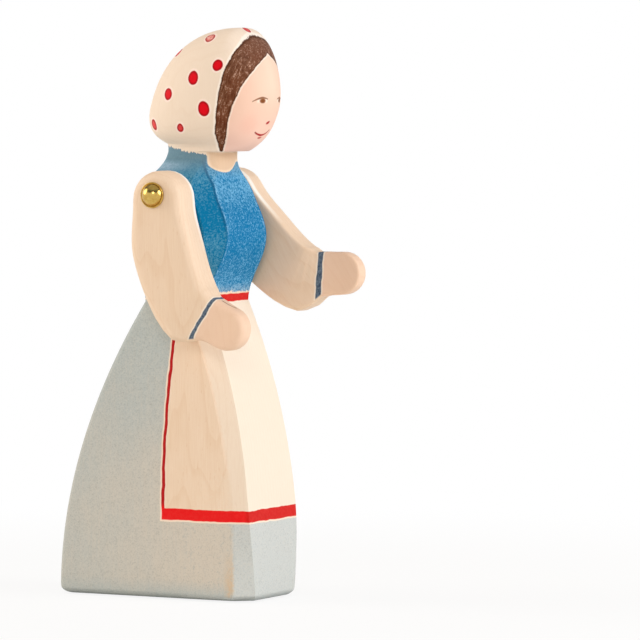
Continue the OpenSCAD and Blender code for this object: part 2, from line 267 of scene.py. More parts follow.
toward_front = add(tree, "MapRange", y, -3.0, -12.0, 0.2, 1.0)
low_flank = add(tree, "Math", low_flank, toward_front, operation="MULTIPLY")
up_flank = add(tree, "MapRange", z, 97.0, 110.0, 0.0, 0.45, interpolation_type="SMOOTHSTEP")
off_bust = add(tree, "Math", add(tree, "Math", z, bust_z, operation="SUBTRACT"), operation="ABSOLUTE")
thin = add(tree, "MapRange", z, 87.0, 77.5, 0.0, 0.42, interpolation_type="SMOOTHSTEP")
for more in (
        add(tree, "Math", thin_chest, on_front, operation="MULTIPLY"),
        add(tree, "Math", low_flank, on_front, operation="SUBTRACT", use_clamp=True),
        add(tree, "Math", up_flank, on_front, operation="SUBTRACT", use_clamp=True),
        add(tree, "MapRange", off_bust, 3.5, 1.5, 0.0, -0.07),
        add(tree, "MapRange", on_front, 0.0, 1.0, -0.12, 0.04),
        add(tree, "MapRange", cloud, 0.3, 0.7, -0.08, 0.1)):
    thin = add(tree, "Math", thin, more)
dusty = add(tree, "MapRange", on_front, 0.0, 1.0, 0.16, 0.48)
coarse = add(tree, "MapRange", speck, 0.36, 0.64, -0.9, 0.9)
specks = add(tree, "Math", add(tree, "MapRange", grit, 0.4, 0.6, -1.1, 1.1), coarse)
thin = add(tree, "Math", specks, dusty, thin, operation="MULTIPLY_ADD", use_clamp=True)
blue = add(tree, "Mix", thin, srgb("#0074AA"), srgb("#6CAED5"), data_type="RGBA")
teal = add(tree, "Mix", thin, srgb("#00719B"), srgb("#7BB4BC"), data_type="RGBA")
greener = add(tree, "MapRange", on_front, 0.0, 1.0, 0.5, 0.0)
blue = add(tree, "Mix", greener, blue, teal, data_type="RGBA")
# rubbed pale just inside the bevel, washed out at the waist, inked along the bevel, grey up the neck
# and paler, in streaks, on the slope of the shoulders
inside_bevel = add(tree, "Math", front_facet, 0.55, operation="SUBTRACT")
rubbed = add(tree, "MapRange", inside_bevel, -0.35, 0.0, 0.0, 1.0)
for share in (
        add(tree, "MapRange", front_facet, 1.3, 0.6, 0.0, 0.5),
        add(tree, "MapRange", speck, 0.45, 0.62),
        ahead):
    rubbed = add(tree, "Math", rubbed, share, operation="MULTIPLY")
near_waist = add(tree, "MapRange", over_waist, 2.2, 0.3, 0.0, 0.5)
patches = add(tree, "MapRange", speck, 0.38, 0.62, 0.2, 1.0)
washed_out = add(tree, "Math", near_waist, patches, operation="MULTIPLY")
off_edge = add(tree, "Math", add(tree, "Math", front_facet, 0.1), operation="ABSOLUTE")
inky = add(tree, "Math", add(tree, "MapRange", off_edge, 0.4, 0.15, 0.0, 0.6), ahead, operation="MULTIPLY")
inky = add(tree, "Math", inky, add(tree, "MapRange", z, 91.0, 96.0, 0.2, 1.0), operation="MULTIPLY")
off_slope = add(tree, "Math", add(tree, "Math", z, slope_z, operation="SUBTRACT"), operation="ABSOLUTE")
pale_slope = add(tree, "MapRange", off_slope, 1.8, 0.5)
pale_slope = add(tree, "Math", pale_slope, add(tree, "MapRange", y, -9.5, -2.5, 0.0, 0.8), operation="MULTIPLY")
pale_slope = add(tree, "Math", pale_slope, add(tree, "MapRange", bristle, 0.35, 0.6, 0.5, 1.0), operation="MULTIPLY")
for share, tint in (
        (rubbed, "#9CC8E2"),
        (washed_out, "#BCCBD2"),
        (inky, "#0B4C78"),
        (add(tree, "MapRange", z, 107.0, 112.0, 0.0, 0.75), "#78939E"),
        (pale_slope, "#A6C6DE")):
    blue = add(tree, "Mix", share, blue, srgb(tint), data_type="RGBA")
# painted shade: the bare neck under the chin is painted darker, as shade under the head
under_chin = add(tree, "Math", throat_z, z, operation="SUBTRACT")
in_neck = add(tree, "Math", bare_neck, under_chin, operation="MINIMUM")
painted_neck_shade = add(tree, "MapRange", in_neck, 0.0, 0.8, 0.0, 0.7)
colour = add(tree, "Mix", painted_neck_shade, colour, srgb("#D6B695"), data_type="RGBA")
colour = add(tree, "Mix", on_bodice, colour, blue, data_type="RGBA")

# Apron: bare maple, painted paler on the front as painted light, bordered by brushed red lines: a
# thin dark one up each side, a broad bright one along the hem and one for the waistband. The stain
# stops a hair short of every line
side_line_w, hem_line_w, band_foot, band_top = 0.9, 2.9, 75.3, 77.3
in_cloth = add(tree, "Math", in_apron, under_waist, operation="MINIMUM")
on_apron = add(tree, "MapRange", in_cloth, 0.2, 0.8)
# painted light: the apron's front is painted paler where it faces the lamps
painted_front_light = add(tree, "Math", on_low_front, 0.3, operation="MULTIPLY")
painted_front_light = add(tree, "Math", on_front, 0.28, painted_front_light, operation="MULTIPLY_ADD")
lit_apron_front = add(tree, "Math", on_apron, painted_front_light, operation="MULTIPLY")
colour = add(tree, "Mix", lit_apron_front, colour, srgb("#F5F0E3"), data_type="RGBA")
beside_line = add(tree, "MapRange", in_apron, -0.5, -0.3, 0.0, 1.0)
for share in (
        add(tree, "MapRange", in_apron, 1.25, 1.05, 0.0, 1.0),
        add(tree, "MapRange", z, 76.0, 75.0),
        0.75):
    beside_line = add(tree, "Math", beside_line, share, operation="MULTIPLY")
colour = add(tree, "Mix", beside_line, colour, srgb("#FCEBDA"), data_type="RGBA")
side_line = add(tree, "Math", side_line_w, inside_edge, operation="SUBTRACT")
hem_line = add(tree, "Math", hem_line_w, above_hem, operation="SUBTRACT")
border = add(tree, "Math", side_line, hem_line, operation="MAXIMUM")
border = add(tree, "Math", border, in_apron, operation="MINIMUM")
under_band = add(tree, "Math", band_foot, z, operation="SUBTRACT")
border = add(tree, "Math", border, under_band, operation="MINIMUM")
over_band_foot = add(tree, "Math", z, band_foot, operation="SUBTRACT")
under_band_top = add(tree, "Math", band_top, z, operation="SUBTRACT")
waistband = add(tree, "Math", over_band_foot, inside_edge, operation="MINIMUM")
waistband = add(tree, "Math", waistband, under_band_top, operation="MINIMUM")
in_red = add(tree, "Math", border, waistband, operation="MAXIMUM")
red_lines = add(tree, "MapRange", in_red, -0.08, 0.08)
up_the_side = add(tree, "MapRange", z, 23.0, 24.5, 0.0, 1.0)
below_band = add(tree, "MapRange", z, 74.0, 75.0, 1.0, 0.0)
up_the_side = add(tree, "Math", up_the_side, below_band, operation="MULTIPLY")
streaky = add(tree, "MapRange", speck, 0.35, 0.75, 0.0, 0.2)
deeper = add(tree, "Math", on_front, 0.9, operation="MULTIPLY")
red = add(tree, "Mix", deeper, srgb("#EE1C1E"), srgb("#CE1D19"), data_type="RGBA")
red = add(tree, "Mix", up_the_side, red, srgb("#B2141A"), data_type="RGBA")
red = add(tree, "Mix", streaky, red, srgb("#EC5048"), data_type="RGBA")
colour = add(tree, "Mix", red_lines, colour, red, data_type="RGBA")

# Head: a pink wash on the face, deeper on the cheeks and lighter toward the jaw, where the lighter tone is
# painted light against the shade under the chin, and a thin pale one on the scarf.
# Two curves up the head part scarf, hair and face: y of the scarf's edge, and the hairline as a
# distance round the head from the middle of the face
head_foot, head_top, most_reach = 110.0, 146.0, 24.0
chin_z, cheek, parting_x, face_y = 113.3, (6.5, -24.3, 120.4), 1.6, 21.6
up_head = add(tree, "MapRange", z, head_foot, head_top, 0.0, 1.0)
scarf_curve = add(tree, "FloatCurve", 1.0, up_head)
hair_curve = add(tree, "FloatCurve", 1.0, up_head)
for curve, points in (
        (scarf_curve, (
            (110, 16.2), (113.8, 16.0), (115.2, 15.95), (117.1, 16.35), (121.6, 17.4), (126, 18.2),
            (129.8, 18.85), (133.5, 19.85), (137.3, 21.2), (140.2, 22.35), (141.4, 22.5), (142.5, 22.25),
            (146, 20.5))),
        (hair_curve, (
            (110, 12.4), (113.8, 12.2), (115, 11.95), (116.5, 11.75), (120.6, 11.6), (124.7, 10.7),
            (128.5, 9.0), (132.3, 6.9), (134, 5.6), (135.7, 4.1), (137.2, 2.6), (138.6, 1.4),
            (139.8, 0.2), (146, 0)))):
    line = curve.node.mapping.curves[0]
    for i, (level, reach) in enumerate(points):
        place = ((level - head_foot) / (head_top - head_foot), reach / most_reach)
        if i == 0:
            line.points[0].location = place
        elif i == len(points) - 1:
            line.points[len(line.points) - 1].location = place
        else:
            line.points.new(*place)
    curve.node.mapping.update()
scarf_y = add(tree, "Math", scarf_curve, -most_reach, operation="MULTIPLY")
behind_scarf_edge = add(tree, "Math", y, scarf_y, operation="SUBTRACT")
before_scarf = add(tree, "Math", behind_scarf_edge, -1.0, operation="MULTIPLY")
parting = add(tree, "MapRange", z, 130.0, 138.5, 0.0, parting_x)
off_parting = add(tree, "Math", add(tree, "Math", x, parting, operation="SUBTRACT"), operation="ABSOLUTE")
round_face = add(tree, "Math", y, 0.8, face_y, operation="MULTIPLY_ADD")
round_face = add(tree, "Math", off_parting, 0.6, round_face, operation="MULTIPLY_ADD")
past_hairline = add(tree, "Math", hair_curve, -most_reach, round_face, operation="MULTIPLY_ADD")
over_chin = add(tree, "Math", z, chin_z, operation="SUBTRACT")
in_face = add(tree, "Math", over_chin, before_scarf, operation="MINIMUM")
on_face = add(tree, "MapRange", in_face, -0.5, 0.5)
# painted light: the wash is lighter toward the jaw and chin, which face down into shade
lit_pink_jaw = add(tree, "MapRange", z, 127.0, 114.0, 0.0, 1.0, interpolation_type="SMOOTHSTEP")
brow = add(tree, "MapRange", z, 121.0, 130.0, 0.0, 0.6)
thin_brow = add(tree, "Math", brow, add(tree, "MapRange", side, 7.5, 0.5), operation="MULTIPLY")
to_cheek = add(tree, "VectorMath", add(tree, "CombineXYZ", side, y, z), cheek, operation="DISTANCE")
blush = add(tree, "MapRange", to_cheek, 4.2, 0.6, 0.0, 0.22, interpolation_type="SMOOTHSTEP")
skin = add(tree, "Mix", lit_pink_jaw, srgb("#F2CBB6"), srgb("#FAD1C1"), data_type="RGBA")
skin = add(tree, "Mix", thin_brow, skin, srgb("#F4DFC9"), data_type="RGBA")
skin = add(tree, "Mix", blush, skin, srgb("#F0A795"), data_type="RGBA")
wash = add(tree, "Math", on_face, 0.9, operation="MULTIPLY")
colour = add(tree, "Mix", wash, colour, skin, data_type="RGBA")
scarf_front = add(tree, "Math", behind_scarf_edge, 0.4, operation="SUBTRACT")
over_collar = add(tree, "Math", under_scarf, -1.0, operation="MULTIPLY")
behind_throat = add(tree, "Math", y, -throat_y)
over_throat = add(tree, "Math", over_chin, behind_throat, operation="MAXIMUM")
in_scarf = add(tree, "Math", scarf_front, over_collar, operation="MINIMUM")
in_scarf = add(tree, "Math", in_scarf, over_throat, operation="MINIMUM")
on_scarf = add(tree, "MapRange", in_scarf, -soft, soft)
scarf_wash = add(tree, "Math", on_scarf, 0.6, operation="MULTIPLY")
colour = add(tree, "Mix", scarf_wash, colour, srgb("#F6E9DA"), data_type="RGBA")

# Hair: brown paint in short combed strokes 0.6 mm wide with the wood glinting through, parted near the
# middle, running to a blunt tip at the jaw, with a pale line between it and the scarf
strand_w, across_share, down_share = 0.5882, 0.7, 0.28
combed_across = add(tree, "Math", side, across_share, operation="MULTIPLY")
combed_down = add(tree, "Math", z, down_share, operation="MULTIPLY")
from_scarf = add(tree, "CombineXYZ", before_scarf, combed_across, combed_down)
strand = add(tree, "TexNoise", from_scarf, 1 / strand_w, 4.0, 0.75)
in_hair = add(tree, "Math", before_scarf, past_hairline, 0.3, operation="SMOOTH_MIN")
in_hair = add(tree, "Math", in_hair, over_chin, 0.9, operation="SMOOTH_MIN")
rough_edge = add(tree, "MapRange", strand, 0.3, 0.7, -0.14, 0.14)
on_hair = add(tree, "MapRange", add(tree, "Math", in_hair, rough_edge), -0.08, 0.08)
glint = add(tree, "MapRange", strand, 0.5, 0.64, 0.0, 0.9)
glint = add(tree, "Math", glint, add(tree, "MapRange", grit, 0.46, 0.6), operation="MULTIPLY")
combed = add(tree, "MapRange", strand, 0.34, 0.66)
brown = add(tree, "Mix", combed, srgb("#4E260F"), srgb("#895B42"), data_type="RGBA")
for share, tint in (
        (add(tree, "MapRange", cloud, 0.4, 0.65, 0.0, 0.35), "#7A3F28"),
        # painted sheen: greyer and paler toward the top of the hair, as light falls from above
        (add(tree, "MapRange", z, 132.0, 141.0, 0.0, 0.4), "#765748"),
        (glint, "#C4A08C"),
        (add(tree, "MapRange", in_hair, 0.5, 0.2, 0.0, 0.8), "#472410")):
    brown = add(tree, "Mix", share, brown, srgb(tint), data_type="RGBA")
pale_line = add(tree, "MapRange", add(tree, "Math", in_hair, operation="ABSOLUTE"), 0.6, 0.4, 0.0, 0.95)
for share in (
        add(tree, "MapRange", over_chin, -0.4, 0.3),
        add(tree, "MapRange", before_scarf, 1.0, 0.2, 0.5, 1.0)):
    pale_line = add(tree, "Math", pale_line, share, operation="MULTIPLY")
colour = add(tree, "Mix", pale_line, colour, srgb("#FFF4E8"), data_type="RGBA")
colour = add(tree, "Mix", on_hair, colour, brown, data_type="RGBA")

# Scarf dots: round dabs of red paint about 3 mm across, some pale in the middle, as painted glare and
# wear. Their dark edge and pale rim are as the photograph shows them, and may be its sharpening. Each is
# placed on the head: across, back, up, radius, how much taller than wide, glare and wear
head_middle = (0.0, -12.5, 128.5)
outward = add(tree, "VectorMath", hand, head_middle, operation="SUBTRACT")
outward = add(tree, "VectorMath", outward, operation="NORMALIZE")
dots, glare_and_wear_dots = [], []
for across, back, up, radius, tall, glare_and_wear in (
        (-8.7, -14.2, 142.4, 1.4, 1.0, 1.0), (-6.8, -4.0, 138.7, 1.4, 1.0, 0.3),
        (-12.1, -18.3, 135.4, 1.42, 1.0, 0.0), (-12.5, -11.4, 132.3, 1.55, 1.15, 0.0),
        (-11.4, -3.5, 128.1, 1.4, 1.15, 0.0), (-12.7, -14.6, 124.5, 1.68, 1.12, 0.0),
        (-8.6, 2.3, 120.3, 1.3, 1.15, 0.2), (-11.6, -7.1, 119.6, 1.02, 1.1, 0.15),
        (-0.4, -20.4, 144.4, 1.3, 0.9, 0.3), (8.4, -13.0, 142.6, 1.4, 1.0, 0.0),
        (8.2, -5.4, 139.2, 1.4, 1.0, 0.0), (12.1, -17.8, 134.6, 1.5, 1.1, 0.0),
        (12.5, -10.4, 131.8, 1.4, 1.15, 0.0), (11.3, -4.4, 126.8, 1.5, 1.15, 0.0),
        (12.7, -14.9, 123.6, 1.5, 1.2, 0.0), (8.5, 2.5, 121.2, 1.4, 1.1, 0.0),
        (11.4, -8.2, 118.6, 1.2, 1.2, 0.0), (0.4, -10.5, 144.0, 1.4, 1.0, 0.4),
        (-0.6, -1.6, 139.6, 1.5, 1.0, 0.0), (-4.4, 3.2, 132.6, 1.4, 1.1, 0.0),
        (4.6, 3.0, 133.4, 1.5, 1.1, 0.0), (0.3, 5.9, 126.4, 1.5, 1.15, 0.0),
        (-4.0, 5.6, 119.6, 1.3, 1.15, 0.0), (4.4, 5.6, 120.0, 1.3, 1.15, 0.0)):
    spoke = [a - b for a, b in zip((across, back, up), head_middle)]
    reach = math.sqrt(sum(a * a for a in spoke))
    off = add(tree, "VectorMath", outward, [a / reach for a in spoke], operation="SUBTRACT")
    off = add(tree, "VectorMath", off, (reach, reach, reach / tall), operation="MULTIPLY")
    off = add(tree, "VectorMath", off, operation="LENGTH")
    dots.append(add(tree, "Math", radius, off, operation="SUBTRACT"))
    if glare_and_wear:
        glare_and_wear_dots.append(add(tree, "MapRange", dots[-1], 0.15, 0.5, 0.0, glare_and_wear))
nearest_dot, dot_glare_and_wear = dots[0], glare_and_wear_dots[0]
for inside in dots[1:]:
    nearest_dot = add(tree, "Math", nearest_dot, inside, operation="MAXIMUM")
for glare_and_wear_dot in glare_and_wear_dots[1:]:
    dot_glare_and_wear = add(tree, "Math", dot_glare_and_wear, glare_and_wear_dot, operation="MAXIMUM")
rim = add(tree, "Math", add(tree, "MapRange", nearest_dot, -0.62, -0.3), on_scarf, operation="MULTIPLY")
colour = add(tree, "Mix", rim, colour, srgb("#FFEBDF"), data_type="RGBA")
on_dot = add(tree, "Math", add(tree, "MapRange", nearest_dot, -0.07, 0.07), on_scarf, operation="MULTIPLY")
dot_edge = add(tree, "MapRange", nearest_dot, 0.65, 0.25, 0.0, 0.85)
brush_streaks = add(tree, "Math", streaky, 0.4, operation="MULTIPLY")
patchy_glare_and_wear = add(tree, "Math", dot_glare_and_wear, add(tree, "MapRange", speck, 0.3, 0.6, 0.95, 0.3), operation="MULTIPLY")
dab = add(tree, "Mix", dot_edge, srgb("#E2041C"), srgb("#A00014"), data_type="RGBA")
dab = add(tree, "Mix", brush_streaks, dab, srgb("#E8444A"), data_type="RGBA")
# painted glare with wear: pale pink in the middle of some dots
dab = add(tree, "Mix", patchy_glare_and_wear, dab, srgb("#F4CFC2"), data_type="RGBA")
colour = add(tree, "Mix", on_dot, colour, dab, data_type="RGBA")

# Face: a brown dot under a thin brown lid for each eye, with a little white beside it, and red
# touches for nose, mouth and lower lip. The lid and the smile are shallow arcs, the others ovals
eye_x, eye_z, iris_r = 4.3, 126.5, 0.56
lid_x, lid_z, lid_half, lid_bend = 4.85, 127.2, 2.5, 0.095
nose_x, nose_z, nose_r, nose_slant = -0.1, 121.0, 0.35, 0.28
mouth_x, mouth_z, mouth_half, lip_z, lip_r = -0.5, 117.85, 3.3, 117.15, 0.22
lid_off = add(tree, "Math", side, eye_x, operation="SUBTRACT")
lid_arch = add(tree, "Math", lid_off, lid_off, operation="MULTIPLY")
lid_arch = add(tree, "Math", lid_arch, -lid_bend, lid_z, operation="MULTIPLY_ADD")
under_lid = add(tree, "Math", lid_arch, z, operation="SUBTRACT")
off_lid = add(tree, "Math", under_lid, operation="ABSOLUTE")
along_lid = add(tree, "Math", add(tree, "Math", side, lid_x, operation="SUBTRACT"), operation="ABSOLUTE")
lid_r = add(tree, "MapRange", along_lid, 0.6, 2.6, 0.24, 0.1)
lid_end = add(tree, "Math", lid_half, along_lid, operation="SUBTRACT")
lid = add(tree, "Math", add(tree, "Math", lid_r, off_lid, operation="SUBTRACT"), lid_end, operation="MINIMUM")
slanted_z = add(tree, "Math", x, -nose_slant, z, operation="MULTIPLY_ADD")
off_middles = []
for place, middle, squash in (
        (add(tree, "CombineXYZ", side, 0.0, z), (eye_x, 0, eye_z), (0.6, 0, 1.05)),
        (add(tree, "CombineXYZ", x, 0.0, slanted_z), (nose_x, 0, nose_z), (0.42, 0, 0.95)),
        (add(tree, "CombineXYZ", x, 0.0, z), (mouth_x, 0, lip_z), (0.26, 0, 1.0))):
    off = add(tree, "VectorMath", place, middle, operation="SUBTRACT")
    off = add(tree, "VectorMath", off, squash, operation="MULTIPLY")
    off_middles.append(add(tree, "VectorMath", off, operation="LENGTH"))
off_eye, off_nose, off_lip = off_middles
iris = add(tree, "Math", iris_r, off_eye, operation="SUBTRACT")
nose = add(tree, "Math", nose_r, off_nose, operation="SUBTRACT")
lip = add(tree, "Math", lip_r, off_lip, operation="SUBTRACT")
mouth_off = add(tree, "Math", x, -mouth_x)
smile = add(tree, "Math", mouth_off, 0.008, 0.085, operation="MULTIPLY_ADD")
mouth_off_squared = add(tree, "Math", mouth_off, mouth_off, operation="MULTIPLY")
smile = add(tree, "Math", smile, mouth_off_squared, mouth_z, operation="MULTIPLY_ADD")
off_smile = add(tree, "Math", add(tree, "Math", z, smile, operation="SUBTRACT"), operation="ABSOLUTE")
along_mouth = add(tree, "Math", mouth_off, operation="ABSOLUTE")
mouth_r = add(tree, "MapRange", along_mouth, 1.0, 3.4, 0.25, 0.15)
mouth_end = add(tree, "Math", mouth_half, along_mouth, operation="SUBTRACT")
mouth = add(tree, "Math", mouth_r, off_smile, operation="SUBTRACT")
mouth = add(tree, "Math", mouth, mouth_end, operation="MINIMUM")
beside_iris = add(tree, "Math", add(tree, "Math", off_eye, 0.85, operation="SUBTRACT"), operation="ABSOLUTE")
eye_white = add(tree, "MapRange", beside_iris, 0.35, 0.1, 0.0, 0.5)
for share in (
        add(tree, "MapRange", under_lid, 0.0, 0.25),
        add(tree, "MapRange", under_lid, 1.15, 0.7),
        on_face):
    eye_white = add(tree, "Math", eye_white, share, operation="MULTIPLY")
colour = add(tree, "Mix", eye_white, colour, srgb("#FFF4EA"), data_type="RGBA")
pupil = add(tree, "MapRange", iris, 0.2, 0.5)
hazel = add(tree, "Mix", pupil, srgb("#8C5634"), srgb("#7A4726"), data_type="RGBA")
mouth_corner = add(tree, "MapRange", along_mouth, 2.2, 3.0, 0.0, 0.6)
carmine = add(tree, "Mix", mouth_corner, srgb("#B61E24"), srgb("#7A1A16"), data_type="RGBA")
reds = add(tree, "Math", add(tree, "Math", nose, mouth, operation="MAXIMUM"), lip, operation="MAXIMUM")
for touch, tint in (
        (add(tree, "MapRange", lid, -soft, soft, 0.0, 0.95), srgb("#8E5F3F")),
        (add(tree, "MapRange", iris, -0.12, 0.12), hazel),
        (add(tree, "MapRange", reds, -soft, soft), carmine)):
    drawn = add(tree, "Math", touch, on_face, operation="MULTIPLY")
    colour = add(tree, "Mix", drawn, colour, tint, data_type="RGBA")

# The finish: a thin dull oil over stain and bare wood, a little glossier on the thick paint
painted = add(tree, "Math", on_dot, red_lines, operation="MAXIMUM")
rough = add(tree, "MapRange", painted, 0.0, 1.0, 0.58, 0.48)
rough = add(tree, "Math", rough, add(tree, "MapRange", fibre, 0.3, 0.7, -0.05, 0.05))
oiled(tree, colour, rough, fibre, gloss=0.07)
woman.data.materials.append(paint)
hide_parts("body")
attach(woman, "body")

# The arms: two flat pieces of the same maple, fretsawn to one outline with a mitten hand, their
# outer edges sanded round. They are left bare but for a brushed slate-blue line for each cuff
# and a pink wash on the hands.
pivot = (0.0, -5.6, 102.8)        # the shoulder nails' axis runs along X through here
bore_keep = 1.6                   # the sandpaper stays this far off the axis, clear of the bore
inner_x = 14.2                    # the arms' inner faces, off the body's middle
arm_sway, arm_sway_reach, slate_speck_w = 3.333, 0.8, 0.5556
cuff_turn = math.radians(32.7)    # the cuff is painted so far below square to the front
cuff_ahead, cuff_down = math.cos(cuff_turn), math.sin(cuff_turn)
edge_up, edge_slope = 52.17, 0.945      # the arm's lower edge crosses the cuff's line at 43 degrees
for name, node, swing, cuff_at, cuff_r in (
        ("right_arm_sawn", "right_arm", 1.0, 27.6, 0.46), ("left_arm_sawn", "left_arm", 29.0, 28.3, 0.74)):
    arm = copy_of(node, name)
    even = arm.modifiers.new("even_skin", "REMESH")
    even.mode = "VOXEL"
    even.voxel_size = 0.3 * mm
    bpy.ops.object.modifier_apply(modifier=even.name)
    off_bore = arm.vertex_groups.new(name="off_bore")
    for point in arm.data.vertices:
        away = math.hypot(point.co.y / mm - pivot[1], point.co.z / mm - pivot[2])
        share = min(1, max(0, away - bore_keep))
        if share:
            off_bore.add([point.index], share, "REPLACE")
    sanding = arm.modifiers.new("sanded_edges", "SMOOTH")
    sanding.factor = 0.5
    sanding.iterations = 6
    sanding.vertex_group = "off_bore"
    bpy.ops.object.modifier_apply(modifier=sanding.name)
    bpy.ops.object.shade_smooth()

    bare = bpy.data.materials.new("sanded_bare_maple_" + node)
    tree = blank(bare)
    spot = in_mm(tree)
    # the arm as it would hang straight down from its nail
    from_nail = add(tree, "VectorMath", spot, pivot, operation="SUBTRACT")
    hanging = add(tree, "VectorRotate", from_nail, None, math.radians(swing), rotation_type="X_AXIS")
    colour, fibre = maple(tree, hanging, pith=(46, 3, 10), light=srgb("#F4DDC4"), dark=srgb("#E3C19E"))
    hand = by_hand(tree, hanging, arm_sway, arm_sway_reach)
    x, y, z = add(tree, "SeparateXYZ", hand).node.outputs
    # round the shoulder, a white line on the corner next to the body: a painted highlight on the
    # rounded edge, as the photograph shows it; it too may be sharpening
    off_middle = add(tree, "Math", add(tree, "SeparateXYZ", hanging), operation="ABSOLUTE")
    painted_highlight_corner = add(tree, "MapRange", off_middle, inner_x + 2.0, inner_x + 1.2, 0.0, 0.9)
    for share in (
            add(tree, "MapRange", off_middle, inner_x + 0.1, inner_x + 0.5),
            add(tree, "MapRange", z, -15.0, -6.0)):
        painted_highlight_corner = add(tree, "Math", painted_highlight_corner, share, operation="MULTIPLY")
    colour = add(tree, "Mix", painted_highlight_corner, colour, srgb("#FFFCF6"), data_type="RGBA")
    # past the cuff, toward the fingers
    past_cuff = add(tree, "Math", z, -cuff_down, -cuff_at, operation="MULTIPLY_ADD")
    past_cuff = add(tree, "Math", y, -cuff_ahead, past_cuff, operation="MULTIPLY_ADD")
    beyond = add(tree, "MapRange", past_cuff, 0.3, 1.3, 0.0, 0.6)
    colour = add(tree, "Mix", beyond, colour, srgb("#F3CDB2"), data_type="RGBA")
    # up the cuff's line; the brush stopped short of the arm's lower edge
    up_cuff = add(tree, "Math", z, cuff_ahead, operation="MULTIPLY")
    up_cuff = add(tree, "Math", y, -cuff_down, up_cuff, operation="MULTIPLY_ADD")
    over_edge = add(tree, "Math", up_cuff, edge_up - edge_slope * cuff_at)
    over_edge = add(tree, "Math", past_cuff, -edge_slope, over_edge, operation="MULTIPLY_ADD")
    brushed = add(tree, "MapRange", over_edge, 0.4, 0.8)
    off_cuff = add(tree, "Math", past_cuff, operation="ABSOLUTE")
    specks = add(tree, "MapRange", add(tree, "TexNoise", spot, 1 / slate_speck_w, 2.0), 0.3, 0.7)
    slate = add(tree, "Mix", specks, srgb("#30445B"), srgb("#6E7F8F"), data_type="RGBA")
    for line, tint in (
            (add(tree, "MapRange", off_cuff, cuff_r + 0.45, cuff_r + 0.2, 0.0, 0.8), srgb("#FBEEDF")),
            (add(tree, "MapRange", off_cuff, cuff_r + 0.07, cuff_r - 0.07), slate)):
        drawn = add(tree, "Math", line, brushed, operation="MULTIPLY")
        colour = add(tree, "Mix", drawn, colour, tint, data_type="RGBA")
    # a thin brown mark on top of the hand, from the cuff toward the fingers, bending inward
    mark_start, mark_half, mark_bend, mark_x, mark_r = 1.4, 1.9, 0.09, 18.7, 0.28
    along = add(tree, "Math", past_cuff, mark_start, operation="SUBTRACT")
    bent = add(tree, "Math", along, along, operation="MULTIPLY")
    side = add(tree, "Math", x, operation="ABSOLUTE")
    bent = add(tree, "Math", bent, mark_bend, side, operation="MULTIPLY_ADD")
    off_mark = add(tree, "Math", add(tree, "Math", bent, mark_x, operation="SUBTRACT"), operation="ABSOLUTE")
    off_half = add(tree, "Math", along, mark_half, operation="SUBTRACT")
    off_half = add(tree, "Math", off_half, operation="ABSOLUTE")
    mark = add(tree, "Math", mark_r, off_mark, operation="SUBTRACT")
    for limit in (
            add(tree, "Math", mark_half, off_half, operation="SUBTRACT"),
            add(tree, "Math", up_cuff, 16.0)):
        mark = add(tree, "Math", mark, limit, operation="MINIMUM")
    brown_mark = add(tree, "MapRange", mark, -0.15, 0.15, 0.0, 0.9)
    colour = add(tree, "Mix", brown_mark, colour, srgb("#8E653A"), data_type="RGBA")
    rough = add(tree, "MapRange", fibre, 0.3, 0.7, 0.45, 0.55)
    oiled(tree, colour, rough, fibre, gloss=0.3)
    arm.data.materials.append(bare)
    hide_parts(node)
    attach(arm, node)

# The shoulder nails: domed brass nails with a turned-under rim, driven through the arm into the
# side of the body, just short of pinching the arm. Their heads are polished, so they mirror the
# room; the shank is drawn wire with a short point.
brass = bpy.data.materials.new("polished_brass")
tree = blank(brass)
spot = in_mm(tree)
tarnish_w, scuff_w = 1.111, 0.2
tarnish = add(tree, "TexNoise", spot, 1 / tarnish_w, 3.0)
dull = add(tree, "MapRange", tarnish, 0.35, 0.7)
metal = add(tree, "Mix", dull, srgb("#D4B262"), srgb("#C09A4A"), data_type="RGBA")
buffed = add(tree, "MapRange", tarnish, 0.3, 0.7, 0.16, 0.26)
scuff = add(tree, "Bump", 0.1, 0.02 * mm, None, add(tree, "TexNoise", spot, 1 / scuff_w, 2.0))
add(tree, "OutputMaterial", add(tree, "BsdfPrincipled", metal, 1.0, buffed, None, 1.0, scuff))

